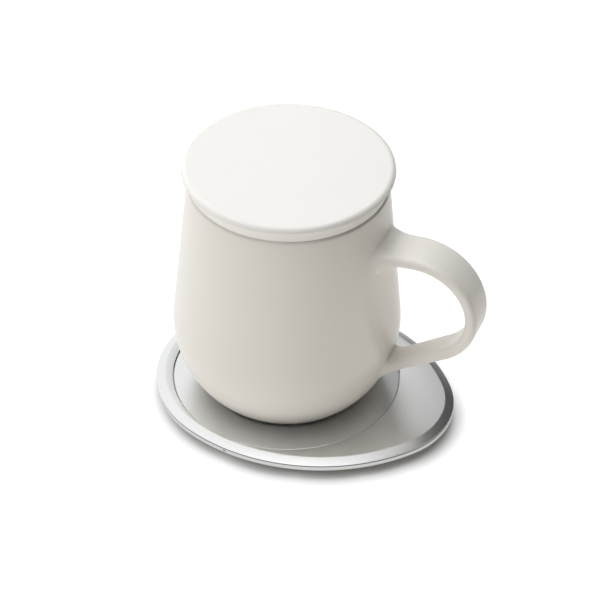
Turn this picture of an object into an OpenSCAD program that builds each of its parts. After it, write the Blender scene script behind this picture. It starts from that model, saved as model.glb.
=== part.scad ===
// Heated mug: lidded ceramic cup with a strap handle, standing on an oval warmer.
// Millimetres, +Z up. The origin is on the cup's axis at the ground, the handle points along +X.

/* [Cup] */
// Outer diameter at the rim
rim_d = 72; // [64:0.5:80]
// Outer diameter at the belly
belly_d = 83.4; // [78:0.2:92]
// Height of the belly above the foot
belly_h = 29.4; // [25:0.2:34]
// Height from foot to rim
cup_h = 90; // [80:0.5:105]
// Radius of the bowl's curve below the belly
bowl_r = 38.8; // [36:0.2:44]
// Wall thickness
wall_t = 3.6; // [3:0.1:4.5]
// Height of the inner floor above the foot
floor_h = 6.4; // [5.6:0.1:9]
// Radius between the inner floor and the wall
floor_fillet = 9; // [5:0.5:12]
// Rounding of the rim's two edges
rim_round = 1.2; // [0.6:0.1:1.4]
// Height of the step between foot ring and bowl
foot_step = 0.7; // [0.4:0.1:1.5]
// How far the foot ring stands in from the bowl's lower edge
foot_inset = 2; // [1:0.1:3]

/* [Handle] */
// Distance from the cup's axis to the middle of the strap at its outermost
handle_reach = 72.4; // [66:0.2:80]
// Height of the bend's centre above the foot
handle_h = 51.9; // [48:0.1:58]
// Radius of the bend in the middle of the strap
bend_r = 21; // [17:0.2:24]
// Rise of the upper arm towards the bend, in degrees
upper_rise = 4.7; // [0:0.1:8]
// Slope of the lower arm, in degrees
lower_slope = 33; // [25:1:42]
// Strap width at its upper end
strap_w_upper = 17.4; // [14:0.2:22]
// Strap width at its lower end
strap_w_lower = 9.2; // [8:0.2:14]
// Strap thickness
strap_t = 4.4; // [3.5:0.1:5.5]
// Rounding of the strap's edges
strap_edge = 1.2; // [0.6:0.1:1.6]
// Growth of the strap's upper face where it meets the wall
root_flare = 3.4; // [1:0.1:4.5]
// Growth of its sides there
root_side = 2.6; // [1:0.1:3.5]
// Growth of its lower face there
root_drop = 4.5; // [2:0.1:6]
// Distance from the wall at which the sides and the lower face start to grow
root_reach = 9; // [5:0.5:12]

/* [Lid] */
// Diameter at its widest
lid_d = 76; // [73:0.5:82]
// Height above the rim
lid_h = 7.4; // [5:0.1:9]
// Rounding of the upper edge
lid_round = 1.9; // [0.8:0.1:2]
// How far the lower edge stands in from the cup's rim
lid_inset = 0.3; // [0:0.1:1]
// Depth of the hollow curve round the side
lid_hollow = 0.35; // [0.2:0.05:0.6]
// Depth of the plug below the rim
plug_h = 8; // [7:0.5:12]
// Wall thickness of the plug
plug_t = 4; // [3:0.1:6]
// Gap between the plug and the cup's mouth
plug_gap = 1.4; // [1:0.1:2]
// Height of the soft ring on the plug
seal_h = 2.6; // [2:0.1:4]
// Depth of the ring's groove
seal_groove = 1.2; // [0.8:0.1:2]

/* [Cup foot] */
// Width of the foot ring round the recess
foot_ring_w = 3.5; // [2.5:0.1:5]
// Thickness of the heating element
element_t = 0.8; // [0.5:0.1:1.2]
// Thickness of the gasket
foot_seal_t = 0.5; // [0.3:0.1:0.8]
// Width of the gasket
foot_seal_w = 4.5; // [3:0.1:7]
// Thickness of the cover
foot_cover_t = 1.1; // [0.8:0.1:1.5]
// How far the cover stands in from the foot
foot_cover_in = 0.4; // [0.2:0.1:0.6]

/* [Warmer outline] */
// Diameter of the warming disc
disc_d = 84.4; // [80:0.2:92]
// Flat land between disc and bevel at the sides
side_land = 0.75; // [0.5:0.05:4]
// Flat land between disc and bevel at the back
back_land = 3.35; // [2:0.05:6]
// Flat land between disc and bevel at the nose
nose_land = 19.05; // [16:0.05:24]
// How much tighter than the half width the back end turns
back_tuck = 1.6; // [1:0.1:3]
// How much tighter than the half width the nose turns
nose_tuck = 14.5; // [12:0.1:18]
// Width of the bevel seen from above
bevel_w = 3.2; // [2.6:0.1:4]
// Height of the bevel
bevel_h = 1.4; // [1:0.1:1.6]
// Height of the lower band
band_h = 2; // [1.8:0.1:2.4]
// How far the underside tucks in below the band
under_w = 4.2; // [3.6:0.1:5]

/* [Warmer stack] */
// Thickness of the non-slip pad
pad_t = 0.8; // [0.6:0.1:1.2]
// Thickness of the bottom shell's floor
tray_floor_t = 1.2; // [1:0.1:1.6]
// Thickness of the bottom shell's side
tray_wall_t = 1.6; // [1.4:0.1:1.8]
// Thickness of the coil carrier's floor
carrier_t = 0.6; // [0.5:0.1:1]
// Thickness of the ferrite
ferrite_t = 1.5; // [1.4:0.1:2]
// Thickness of the insulation pad
insulation_t = 0.9; // [0.7:0.1:1.3]
// Thickness of the warming disc
disc_t = 1.2; // [1:0.1:1.6]
// How far the disc lies below the top of the warmer
disc_recess = 0.4; // [0.2:0.1:0.6]
// Thickness of the top shell
plate_t = 1.4; // [1.2:0.1:1.6]

/* [Coil] */
// Diameter of the wire
wire_d = 1.1; // [1:0.1:1.4]
// Gap from turn to turn
turn_gap = 0.7; // [0.5:0.05:0.9]
// Radius of the innermost turn
coil_in_r = 10.5; // [10:0.5:13]
// Number of turns
coil_turns = 9; // [7:1:10]

/* [Electronics] */
// Thickness of the circuit board
board_t = 1; // [0.8:0.1:1.2]
// Side of the controller chip
chip_w = 5; // [4:0.5:6]
// Side of a power transistor
transistor_w = 3.3; // [3:0.1:3.6]
// Height of a power transistor
transistor_h = 1; // [0.8:0.1:1.2]
// Side of the inductor
inductor_w = 6; // [5:0.5:7]
// Height of the inductor
inductor_h = 2; // [1.6:0.1:2.2]
// Length of a capacitor
capacitor_l = 3.2; // [2:0.1:3.6]
// Diameter of the light pipe
pipe_d = 1; // [0.8:0.1:1.1]

/* [Hidden] */
$fn = 96;

// Fits
fit = 0.05;
lay_gap = 0.1;
disc_gap = 0.25;
loose = 0.3;
seam_gap = 0.4;
over = 1;
// How far arcs that run into each other overlap
blend = 0.01;

// Cup profile, measured from the foot
rim_r = rim_d / 2;
belly_r = belly_d / 2;
bowl_c = [belly_r - bowl_r, belly_h];
rim_from_bowl = [rim_r, cup_h] - bowl_c;
cone_a = atan2(rim_from_bowl[1], rim_from_bowl[0]) - acos(bowl_r / norm(rim_from_bowl));
bowl_top = bowl_c + bowl_r * [cos(cone_a), sin(cone_a)];
bowl_low_a = asin((foot_step - belly_h) / bowl_r);
bowl_low_r = bowl_c[0] + bowl_r * cos(bowl_low_a);
foot_r = bowl_low_r - foot_inset;
rim_edge_c = [rim_r + rim_round * (tan(cone_a) - 1 / cos(cone_a)), cup_h - rim_round];

// Cup cavity
inner_r = bowl_r - wall_t;
inner_top = bowl_c + inner_r * [cos(cone_a), sin(cone_a)];
function mouth_x(z) = inner_top[0] - (z - inner_top[1]) * tan(cone_a);
mouth_r = mouth_x(cup_h);
fillet_z = floor_h + floor_fillet;
fillet_x = bowl_c[0] + sqrt(pow(inner_r - floor_fillet, 2) - pow(belly_h - fillet_z, 2));
fillet_a = atan2(fillet_z - belly_h, fillet_x - bowl_c[0]);
mouth_edge_c = [mouth_r + rim_round * (tan(cone_a) + 1 / cos(cone_a)), cup_h - rim_round];

// Cup foot
recess_r = foot_r - foot_ring_w;
recess_h = foot_cover_in + foot_cover_t + foot_seal_t + element_t;

// Lid, measured from the rim
lid_r = lid_d / 2;
lid_low_r = rim_r - lid_inset;
lid_low_h = 0.4;
plug_r = mouth_r - plug_gap;
seal_z = -plug_h / 2;
seal_r = mouth_r - loose;

// Heights in the warmer
tray_z = pad_t;
tray_floor_z = tray_z + tray_floor_t;
carrier_floor_z = tray_floor_z + carrier_t;
ferrite_z = carrier_floor_z + ferrite_t;
coil_z = ferrite_z + lay_gap + wire_d / 2;
insulation_z = coil_z + wire_d / 2 + lay_gap;
disc_z = insulation_z + insulation_t + lay_gap;
seat_z = disc_z + disc_t;
top_z = seat_z + disc_recess;
edge_h = 0.3;
part_z = top_z - bevel_h - edge_h;
band_z = part_z - band_h;
plate_z = top_z - plate_t;

// Warmer outline: four arcs that run into each other
disc_r = disc_d / 2;
seat_r = disc_r + disc_gap;
half_w = seat_r + side_land + bevel_w;
back_r = half_w - back_tuck;
nose_r = half_w - nose_tuck;
back_x = back_r - (seat_r + back_land + bevel_w);
nose_x = seat_r + nose_land + bevel_w - nose_r;
span = nose_x - back_x;
flank_k = nose_tuck / back_tuck - 1;
flank_q = pow(span, 2) - nose_tuck * (nose_tuck - back_tuck);
flank_u = (sqrt(pow(span, 2) + flank_k * flank_q) - span) / flank_k;
flank_r = (pow(flank_u, 2) / back_tuck + back_r + half_w) / 2;
flank_x = back_x + flank_u;
flank_y = flank_r - half_w;
nose_a = atan2(flank_y, nose_x - flank_x);
back_a = atan2(flank_y, back_x - flank_x);
// Each arc: centre, radius, first and last angle, number of steps along it
ARCS = [
    [nose_x, 0, nose_r, -nose_a, nose_a, 24],
    [flank_x, -flank_y, flank_r, nose_a, back_a, 28],
    [back_x, 0, back_r, back_a, 360 - back_a, 36],
    [flank_x, flank_y, flank_r, 360 - back_a, 360 - nose_a, 28]
];

// Shells
lip_e = tray_wall_t + 0.15;
lip_t = 1.2;
lip_h = 1.4;
ledge_t = 0.6;
ledge_w = 3.6;
ledge_z = disc_z - ledge_t;
ledge_r = seat_r - ledge_w;
ledge_out_r = seat_r + 1.15;
tray_rim_z = part_z - seam_gap;
tray_in_e = under_w + 0.9;
pad_e = under_w + 1.3;

// Screws
screw_d = 2;
head_d = 3.6;
head_h = 1.2;
boss_d = 4.6;
post_d = 7;
screw_in = pad_e + head_d / 2 + loose + 1.4;
SCREWS = [
    for (a = [-40, 40]) [nose_x + (nose_r - screw_in) * cos(a), (nose_r - screw_in) * sin(a)],
    for (a = [150, 210]) [back_x + (back_r - screw_in) * cos(a), (back_r - screw_in) * sin(a)]
];
head_z = tray_z + fit;
head_top_z = head_z + head_h;
screw_top_z = ledge_z - 0.4;

// Coil, ferrite and carrier
pitch = wire_d + turn_gap;
coil_out_r = coil_in_r + coil_turns * pitch;
ferrite_r = coil_out_r + wire_d / 2 + 1.3;
ferrite_hole_r = coil_in_r + wire_d / 2 + loose;
carrier_in_r = ferrite_r + loose;
carrier_r = carrier_in_r + 1.4;
rib_in_r = carrier_r + loose;
rib_out_r = rib_in_r + 1;
post_r = 2.5;

// Circuit board and what it carries
part_room = 1.6;
board_top_z = ledge_z - part_room;
board_z = board_top_z - board_t;
board_e = 4.5;
board_hole_r = rib_out_r + 0.45;
board_mid_r = board_hole_r + 4;
chip_h = 0.9;
transistor_r = ledge_out_r + 1.6 + transistor_w / 2;
TRANSISTOR_A = [-15, -5, 5, 15];
inductor_x = nose_x + nose_r - 7.7 - inductor_w / 2;
capacitor_w = 2.5;
capacitor_h = 1.4;
CAPACITOR_A = [28, 38, 48, 58];

// Power inlet, a standard size
usb_w = 8.94;
usb_h = 3.2;
usb_l = 7.35;
usb_t = 0.3;
usb_in = 1.2;
usb_x = flank_x;
usb_y = half_w - usb_in;
usb_top_z = ledge_z - 0.1;
usb_mid_z = usb_top_z - usb_h / 2;
usb_block_l = 1.9;
port_gap = 0.35;

// Status light
led_turn = 8.1;
pipe_z = (part_z + band_z) / 2 - 0.1;
pipe_l = 4.9;
led_l = 1.2;
led_w = 1.6;
led_h = 1.5;

CERAMIC = [0.93, 0.91, 0.87];
SILVER = [0.78, 0.79, 0.8];
SILICONE = [0.75, 0.74, 0.72];
DARK = [0.15, 0.15, 0.16];
COPPER = [0.72, 0.45, 0.25];
BOARD = [0.1, 0.3, 0.18];

// Slice of a circle between two angles less than half a turn apart
module pie(c, r, a0, a1) {
    am = (a0 + a1) / 2;
    far = 2 * r / cos((a1 - a0) / 4);
    translate(c)
    intersection() {
        circle(r = r);
        polygon([
            [0, 0],
            far * [cos(a0), sin(a0)],
            far * [cos(am), sin(am)],
            far * [cos(a1), sin(a1)]
        ]);
    }
}

// Ring or disc standing on z0
module ring(r_out, r_in, z0, z1) {
    translate([0, 0, z0])
    linear_extrude(z1 - z0)
    difference() {
        circle(r = r_out);
        if (r_in > 0) circle(r = r_in);
    }
}

// Warmer outline, moved in by a distance
module egg(inset) {
    for (a = [ARCS[0], ARCS[2]]) translate([a[0], a[1]]) circle(r = a[2] - inset);
    for (a = [ARCS[1], ARCS[3]]) pie([a[0], a[1]], a[2] - blend - inset, a[3], a[4]);
}

module egg_plate(inset, z0, z1) {
    translate([0, 0, z0])
    linear_extrude(z1 - z0)
    egg(inset);
}

// The same outline as points at one height, arc after arc
function egg_points(inset, z) = [
    for (a = ARCS)
        for (i = [0 : a[5] - 1])
            let (q = a[3] + (a[4] - a[3]) * i / a[5])
            [a[0] + (a[2] - inset) * cos(q), a[1] + (a[2] - inset) * sin(q), z]
];

// Solid whose outline changes with height; each level is [distance in from the edge, height]
module egg_body(levels) {
    skin([for (p = levels) egg_points(p[0], p[1])]);
}

// Closed tube with rings of points as its outline
module skin(rings) {
    n = len(rings[0]);
    m = len(rings);
    faces = concat(
        [[for (j = [0 : n - 1]) j]],
        [for (i = [0 : m - 2]) for (j = [0 : n - 1])
            [i * n + j, (i + 1) * n + j, i * n + (j + 1) % n]],
        [for (i = [0 : m - 2]) for (j = [0 : n - 1])
            [i * n + (j + 1) % n, (i + 1) * n + j, (i + 1) * n + (j + 1) % n]],
        [[for (j = [n - 1 : -1 : 0]) (m - 1) * n + j]]
    );
    polyhedron(points = [for (r = rings) each r], faces = faces);
}

function unit(v) = v / norm(v);

// Rings of a round wire along a path that never stands upright
function wire_rings(path, d, sides) = [
    for (i = [0 : len(path) - 1])
        let (t = unit(path[min(i + 1, len(path) - 1)] - path[max(i - 1, 0)]))
        let (side = unit(cross([0, 0, 1], t)))
        let (up = cross(t, side))
        [for (j = [0 : sides - 1])
            path[i] + d / 2 * (cos(360 * j / sides) * side + sin(360 * j / sides) * up)]
];

// Outer radius of the cup at a height above its foot
function cup_r(z) = z > bowl_top[1]
    ? bowl_top[0] - (z - bowl_top[1]) * tan(cone_a)
    : bowl_c[0] + sqrt(max(0, pow(bowl_r, 2) - pow(z - belly_h, 2)));

// The wall's straight line runs a hair inside the bowl's circle, so the two cross
module cup_section() {
    side = blend * [cos(cone_a), sin(cone_a)];
    intersection() {
        union() {
            intersection() {
                translate(bowl_c) circle(r = bowl_r);
                translate([0, foot_step]) square([belly_r + over, cup_h]);
            }
            translate(rim_edge_c) circle(r = rim_round + blend);
            polygon([
                [0, foot_step],
                [foot_r, foot_step],
                bowl_top - side,
                rim_edge_c + rim_round * [cos(cone_a), sin(cone_a)] - side,
                rim_edge_c,
                [rim_edge_c[0], cup_h],
                [0, cup_h]
            ]);
            square([foot_r, foot_step + over]);
        }
        square([belly_r + over, cup_h]);
    }
}

module cavity_section() {
    side = blend * [cos(cone_a), sin(cone_a)];
    top = cup_h + over;
    intersection() {
        union() {
            pie(bowl_c, inner_r - blend, fillet_a, cone_a + 20);
            translate([fillet_x, fillet_z]) circle(r = floor_fillet);
            polygon([
                [0, floor_h + blend],
                [fillet_x, floor_h + blend],
                [fillet_x, fillet_z],
                bowl_c + [over, 0],
                inner_top - 2 * side,
                [mouth_x(top), top] - 2 * side,
                [0, top]
            ]);
        }
        square([belly_r, top]);
    }
    difference() {
        polygon([
            mouth_edge_c - (rim_round + over) * [cos(cone_a), sin(cone_a)],
            [mouth_x(top) - over, top],
            [mouth_edge_c[0], top],
            mouth_edge_c
        ]);
        translate(mouth_edge_c) circle(r = rim_round + blend);
    }
}

// Handle stations: distance from axis, height, direction of the outer face, share of the way
bend_c = [handle_reach - bend_r, handle_h];
upper_a = 90 + upper_rise;
lower_a = lower_slope - 90;
root_x = rim_r - wall_t - 2;
bend_start = bend_c + bend_r * [cos(upper_a), sin(upper_a)];
bend_end = bend_c + bend_r * [cos(lower_a), sin(lower_a)];
upper_l = (bend_start[0] - root_x) / cos(upper_rise);
lower_l = (bend_end[0] - root_x) / cos(lower_slope);
bend_l = bend_r * (upper_a - lower_a) * PI / 180;
strap_l = upper_l + bend_l + lower_l;

// The bend's ends lie this far from the wall, along the two arms
lower_way = [-cos(lower_slope), -sin(lower_slope)];
lower_in = (bend_end - bowl_c) * lower_way;
upper_free = max(2, (bend_start[0] - cup_r(bend_start[1])) / cos(upper_rise));
lower_free = max(2, -lower_in
    - sqrt(max(0, pow(lower_in, 2) - pow(norm(bend_end - bowl_c), 2) + pow(bowl_r, 2))));

// Distances from the bend along an arm, closer together where it runs into the wall
root_n = 9;
function arm_steps(free, whole, free_n) =
    let (run = min(0.8 * free, root_reach))
    concat(
        [for (i = [1 : free_n - 1]) (free - run) * i / free_n],
        [for (i = [0 : root_n]) free - run * pow(1 - i / root_n, 1.6)],
        [for (f = [0.2, 0.6, 1]) free + (whole - free) * f]
    );
upper_steps = arm_steps(upper_free, upper_l, 3);
bend_n = 16;
STATIONS = concat(
    [for (i = [len(upper_steps) - 1 : -1 : 0])
        let (s = upper_steps[i])
        [bend_start[0] - s * cos(upper_rise), bend_start[1] - s * sin(upper_rise),
         upper_a, (upper_l - s) / strap_l]],
    [for (i = [0 : bend_n])
        let (a = upper_a + (lower_a - upper_a) * i / bend_n)
        [bend_c[0] + bend_r * cos(a), bend_c[1] + bend_r * sin(a), a,
         (upper_l + bend_l * i / bend_n) / strap_l]],
    [for (s = arm_steps(lower_free, lower_l, 7))
        [bend_end[0] + s * lower_way[0], bend_end[1] + s * lower_way[1], lower_a,
         (upper_l + bend_l + s) / strap_l]]
);

// Corners of the strap's section, going round it
CORNERS = [[1, 1], [-1, 1], [-1, -1], [1, -1]];
edge_n = 5;
function strap_w(f) = strap_w_upper + (strap_w_lower - strap_w_upper) * f;

// Direction straight out of the cup's wall at a point near it
function wall_out(p) =
    let (a = p[2] > bowl_top[1] ? cone_a : asin(max(-1, (p[2] - belly_h) / bowl_r)))
    let (r = norm([p[0], p[1]]))
    [p[0] / r * cos(a), p[1] / r * cos(a), sin(a)];

// Point of the strap's skin; near the wall it spreads along the wall to form the root
function strap_point(s, corner, q) =
    let (half = [strap_w(s[3]) / 2, strap_t / 2])
    let (u = CORNERS[corner][0] * (half[0] - strap_edge) + strap_edge * cos(q))
    let (v = CORNERS[corner][1] * (half[1] - strap_edge) + strap_edge * sin(q))
    let (outward = [cos(s[2]), 0, sin(s[2])])
    let (flat = [s[0], u, s[1]] + v * outward)
    let (gap = max(0, norm([flat[0], flat[1]]) - cup_r(flat[2])))
    let (far = pow(max(0, 1 - gap / root_reach), 2))
    let (near = pow(max(0, 1 - gap / (2 * root_flare)), 2))
    let (rise = v * sin(s[2]) > 0 ? root_flare * near : root_drop * far)
    let (grow = v / half[1] * rise * outward + [0, u / half[0] * root_side * far, 0])
    flat + grow - (grow * wall_out(flat)) * wall_out(flat);

module handle() {
    skin([for (s = STATIONS) [for (c = [0 : 3], i = [0 : edge_n - 1])
        strap_point(s, c, 90 * c + 90 * i / (edge_n - 1))]]);
}

module mug_body() {
    color(CERAMIC)
    translate([0, 0, seat_z])
    difference() {
        union() {
            rotate_extrude() cup_section();
            handle();
        }
        rotate_extrude() cavity_section();
        ring(recess_r, 0, -over, recess_h);
    }
}

module heating_element() {
    color(DARK)
    ring(recess_r - loose, 0, seat_z + recess_h - element_t, seat_z + recess_h);
}

module foot_seal() {
    color(SILICONE)
    ring(recess_r - fit, recess_r - foot_seal_w,
        seat_z + foot_cover_in + foot_cover_t, seat_z + recess_h - element_t);
}

module foot_cover() {
    color(CERAMIC)
    ring(recess_r - fit, 0, seat_z + foot_cover_in, seat_z + foot_cover_in + foot_cover_t);
}

// The side's hollow curve is a cut by a large circle through the ends of the side
module lid_section() {
    side_top = [lid_r, lid_h - lid_round];
    side_low = [lid_low_r, lid_low_h];
    chord = norm(side_top - side_low);
    hollow_r = (pow(chord / 2, 2) + pow(lid_hollow, 2)) / (2 * lid_hollow);
    out = unit([side_top[1] - side_low[1], side_low[0] - side_top[0]]);
    difference() {
        union() {
            polygon([
                [0, 0],
                [lid_low_r - lid_low_h, 0],
                side_low,
                side_top,
                [lid_r - lid_round, lid_h - lid_round],
                [lid_r - lid_round, lid_h],
                [0, lid_h]
            ]);
            intersection() {
                translate([lid_r - lid_round, lid_h - lid_round]) circle(r = lid_round + blend);
                translate([0, lid_h - lid_round]) square([lid_r + over, lid_round]);
            }
            translate([plug_r - plug_t, -plug_h]) square([plug_t, plug_h + lid_h / 2]);
        }
        translate((side_top + side_low) / 2 + (hollow_r - lid_hollow) * out)
        circle(r = hollow_r);
        translate([plug_r - seal_groove, seal_z - seal_h / 2 - fit])
        square([seal_groove + over, seal_h + 2 * fit]);
    }
}

module lid() {
    color(CERAMIC)
    translate([0, 0, seat_z + cup_h])
    rotate_extrude() lid_section();
}

module lid_seal() {
    color(SILICONE)
    translate([0, 0, seat_z + cup_h + seal_z])
    rotate_extrude()
    union() {
        translate([plug_r - seal_groove + fit, -seal_h / 2])
        square([seal_groove - fit, seal_h]);
        intersection() {
            translate([seal_r - seal_h / 2, 0]) circle(d = seal_h);
            translate([plug_r - fit, -seal_h]) square([seal_h, 2 * seal_h]);
        }
    }
}

// Place and turn of the status light on the front flank
module at_light() {
    translate([flank_x, flank_y, 0])
    rotate(-90 - led_turn)
    translate([flank_r, 0, 0])
    children();
}

module pipe_bore(d) {
    at_light()
    translate([-pipe_l, 0, pipe_z])
    rotate([0, 90, 0])
    cylinder(d = d, h = pipe_l + over);
}

// Rounded slot of the power inlet, from inside the shells to the open
module port(gap) {
    h = usb_h + 2 * gap;
    translate([usb_x, usb_y - usb_l - gap, usb_mid_z])
    rotate([-90, 0, 0])
    linear_extrude(usb_l + gap + usb_in + over)
    oblong(usb_w + 2 * gap, h);
}

module oblong(w, h) {
    union() {
        square([w - h, h], center = true);
        for (s = [-1, 1]) translate([s * (w - h) / 2, 0]) circle(d = h);
    }
}

module top_shell() {
    color(SILVER)
    difference() {
        union() {
            difference() {
                union() {
                    egg_body([[0, part_z], [0, part_z + edge_h], [bevel_w, top_z]]);
                    egg_plate(lip_e, part_z - lip_h, part_z + fit);
                }
                egg_plate(lip_e + lip_t, part_z - lip_h - over, plate_z);
            }
            ring(ledge_out_r, ledge_r, ledge_z, plate_z + fit);
            for (p = SCREWS) translate(p) ring(boss_d / 2, 0, board_z, plate_z + fit);
        }
        ring(seat_r, 0, disc_z, top_z + over);
        for (p = SCREWS) translate(p) ring(screw_d / 2 + fit, 0, board_z - over, screw_top_z + fit);
        port(port_gap);
        pipe_bore(pipe_d + 2 * loose);
    }
}

module warming_disc() {
    chamfer = 0.25;
    color(SILVER)
    rotate_extrude()
    polygon([
        [0, disc_z],
        [disc_r, disc_z],
        [disc_r, seat_z - chamfer],
        [disc_r - chamfer, seat_z],
        [0, seat_z]
    ]);
}

// Fills the tucked-in underside round the inlet, so that the socket is framed
module port_frame() {
    frame_t = 1.4;
    w = usb_w + 2 * (port_gap + frame_t);
    deep = board_e - loose;
    intersection() {
        egg_plate(usb_in / 2, tray_floor_z - frame_t / 2, part_z - lip_h - lay_gap);
        translate([usb_x - w / 2, half_w - deep, 0]) cube([w, deep, part_z]);
    }
}

module bottom_shell() {
    color(SILVER)
    difference() {
        union() {
            difference() {
                egg_body([[under_w, tray_z], [0, band_z], [0, tray_rim_z]]);
                egg_body([
                    [tray_in_e, tray_floor_z],
                    [tray_wall_t, band_z + 0.2],
                    [tray_wall_t, tray_rim_z + over]
                ]);
            }
            ring(rib_out_r, rib_in_r, tray_floor_z - fit, carrier_floor_z + fit);
            for (p = SCREWS) translate(p) ring(post_d / 2, 0, tray_z, board_z);
            port_frame();
        }
        for (p = SCREWS) translate(p) ring(screw_d / 2 + loose / 2, 0, tray_z, board_z + over);
        for (p = SCREWS) translate(p) ring(head_d / 2 + loose, 0, tray_z - over, head_top_z);
        port(port_gap);
        pipe_bore(pipe_d + 2 * fit);
    }
}

module base_pad() {
    color(DARK)
    egg_plate(pad_e, 0, pad_t);
}

module shell_screws() {
    slot_d = 1.6;
    slot_h = 0.7;
    color(SILVER)
    for (p = SCREWS)
        translate(p)
        difference() {
            union() {
                ring(head_d / 2, 0, head_z, head_top_z);
                ring(screw_d / 2, 0, head_z, screw_top_z);
            }
            translate([0, 0, head_z - over]) cylinder(d = slot_d, h = over + slot_h, $fn = 6);
        }
}

// The wire comes in on the board, dives under the turns, climbs inside them and winds outwards
ring_step = 15;
lead_a = -38;
lead_z = carrier_floor_z + fit + wire_d / 2;
lead_r = coil_in_r - pitch + 0.3;
lead_bend = 2;
board_lead_z = board_top_z + fit + wire_d / 2;
lead_end_r = board_hole_r + 2.5;
exit_z = max(coil_z, board_lead_z);
coil_a0 = lead_a + 120;
coil_last_a = coil_a0 + 360 * coil_turns;
function polar(r, a, z) = [r * cos(a), r * sin(a), z];
function lead_point(r, t, z) = [
    r * cos(lead_a) - t * sin(lead_a),
    r * sin(lead_a) + t * cos(lead_a),
    z
];
COIL_PATH = concat(
    [lead_point(lead_end_r, -lead_bend, board_lead_z),
     lead_point(board_hole_r - 0.6, -lead_bend, board_lead_z),
     lead_point(carrier_in_r - 0.6, -lead_bend, lead_z)],
    [for (r = [carrier_in_r - 2 : -pitch / 2 : lead_r + lead_bend + 0.2])
        lead_point(r, -lead_bend, lead_z)],
    [for (i = [0 : 4])
        let (a = 90 * i / 4)
        lead_point(lead_r + lead_bend * (1 - sin(a)), -lead_bend * cos(a), lead_z)],
    [for (a = [ring_step : ring_step : 120 - ring_step])
        let (f = a / 120)
        polar(lead_r + (coil_in_r - lead_r) * f * f, lead_a + a, lead_z + (coil_z - lead_z) * f)],
    [for (a = [0 : ring_step : 360 * coil_turns])
        polar(coil_in_r + pitch * a / 360, coil_a0 + a, coil_z)],
    [for (i = [1 : 5])
        let (f = i / 5)
        polar(coil_out_r + (lead_end_r - coil_out_r) * f * f, coil_last_a + 28 * f,
            coil_z + (exit_z - coil_z) * f)]
);

// Least gap of the wire to itself, between points that are more than a short stretch apart
apart = 6;
coil_gap = min([
    for (i = [0 : len(COIL_PATH) - 1 - apart])
        for (j = [i + apart : len(COIL_PATH) - 1])
            norm(COIL_PATH[i] - COIL_PATH[j])
]) - wire_d;
echo(coil_gap = coil_gap);

module coil() {
    color(COPPER)
    skin(wire_rings(COIL_PATH, wire_d, 6));
}

// Gap in ferrite and carrier for the wires that pass under the turns
module lead_gap(r) {
    side = sensor_t - sensor_wire_d / 2 - 2 * loose;
    rotate(lead_a)
    translate([0, side, carrier_floor_z])
    cube([r, wire_d / 2 + 2 * loose - lead_bend - side, 3 * ferrite_t]);
}

module ferrite_disc() {
    color(DARK)
    difference() {
        ring(ferrite_r, ferrite_hole_r, carrier_floor_z, ferrite_z);
        lead_gap(ferrite_r + over);
    }
}

module coil_carrier() {
    exit_a = coil_last_a + 14;
    color(SILICONE)
    difference() {
        union() {
            ring(carrier_r, 0, tray_floor_z, carrier_floor_z);
            ring(carrier_r, carrier_in_r, tray_floor_z, insulation_z);
            ring(post_r, 0, tray_floor_z, sensor_z);
        }
        difference() {
            lead_gap(carrier_r + over);
            ring(carrier_in_r - over, 0, tray_floor_z, top_z);
        }
        rotate(exit_a)
        translate([carrier_in_r - 2 * over, -6, ferrite_z])
        cube([6, 12, top_z]);
    }
}

module insulation_pad() {
    color(SILICONE)
    ring(carrier_r, post_r + 3 * sensor_wire_d, insulation_z, insulation_z + insulation_t);
}

// Temperature sensor: a flat bead on the carrier's post, pressed up to the disc
sensor_d = 3;
sensor_h = 1.4;
sensor_z = disc_z - fit - sensor_h;
sensor_wire_d = 0.7;
sensor_t = -lead_bend - wire_d / 2 - sensor_wire_d / 2 - 0.7;
sensor_lead_z = carrier_floor_z + fit + sensor_wire_d / 2;

module thermistor() {
    color(DARK)
    ring(sensor_d / 2, 0, sensor_z, sensor_z + sensor_h);
}

module thermistor_lead() {
    board_wire_z = board_top_z + fit + sensor_wire_d / 2;
    start_z = sensor_z + sensor_h / 2;
    path = [
        lead_point(sensor_d / 2 + fit, 0, start_z),
        lead_point(post_r + fit, 0, start_z),
        lead_point(post_r + 1.6 * sensor_wire_d, -0.6, insulation_z - sensor_wire_d),
        lead_point(ferrite_hole_r - 3, sensor_t, sensor_lead_z),
        lead_point(ferrite_hole_r, sensor_t, sensor_lead_z),
        lead_point(carrier_in_r - 0.6, sensor_t, sensor_lead_z),
        lead_point(board_hole_r - 0.4, sensor_t, board_wire_z),
        lead_point(lead_end_r, sensor_t, board_wire_z)
    ];
    color(DARK)
    skin(wire_rings(path, sensor_wire_d, 6));
}

module circuit_board() {
    notch_w = usb_w + 2 * loose;
    color(BOARD)
    translate([0, 0, board_z])
    linear_extrude(board_t)
    difference() {
        egg(board_e);
        circle(r = board_hole_r);
        for (p = SCREWS) translate(p) circle(d = boss_d + 2 * loose);
        translate([usb_x - notch_w / 2, usb_y - usb_l - loose]) square([notch_w, usb_l + half_w]);
    }
}

module on_board(l, w, h) {
    translate([-l / 2, -w / 2, board_top_z]) cube([l, w, h]);
}

module controller_chip() {
    color(DARK)
    translate([board_mid_r, 0, 0]) on_board(chip_w, chip_w, chip_h);
}

module power_transistors() {
    color(DARK)
    for (a = TRANSISTOR_A)
        rotate(a)
        translate([transistor_r, 0, 0])
        on_board(transistor_w, transistor_w, transistor_h);
}

module power_inductor() {
    color(DARK)
    translate([inductor_x, 0, 0]) on_board(inductor_w, inductor_w, inductor_h);
}

module resonant_capacitors() {
    color([0.7, 0.6, 0.45])
    for (a = CAPACITOR_A)
        rotate(a)
        translate([board_mid_r, 0, 0])
        on_board(capacitor_w, capacitor_l, capacitor_h);
}

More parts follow.
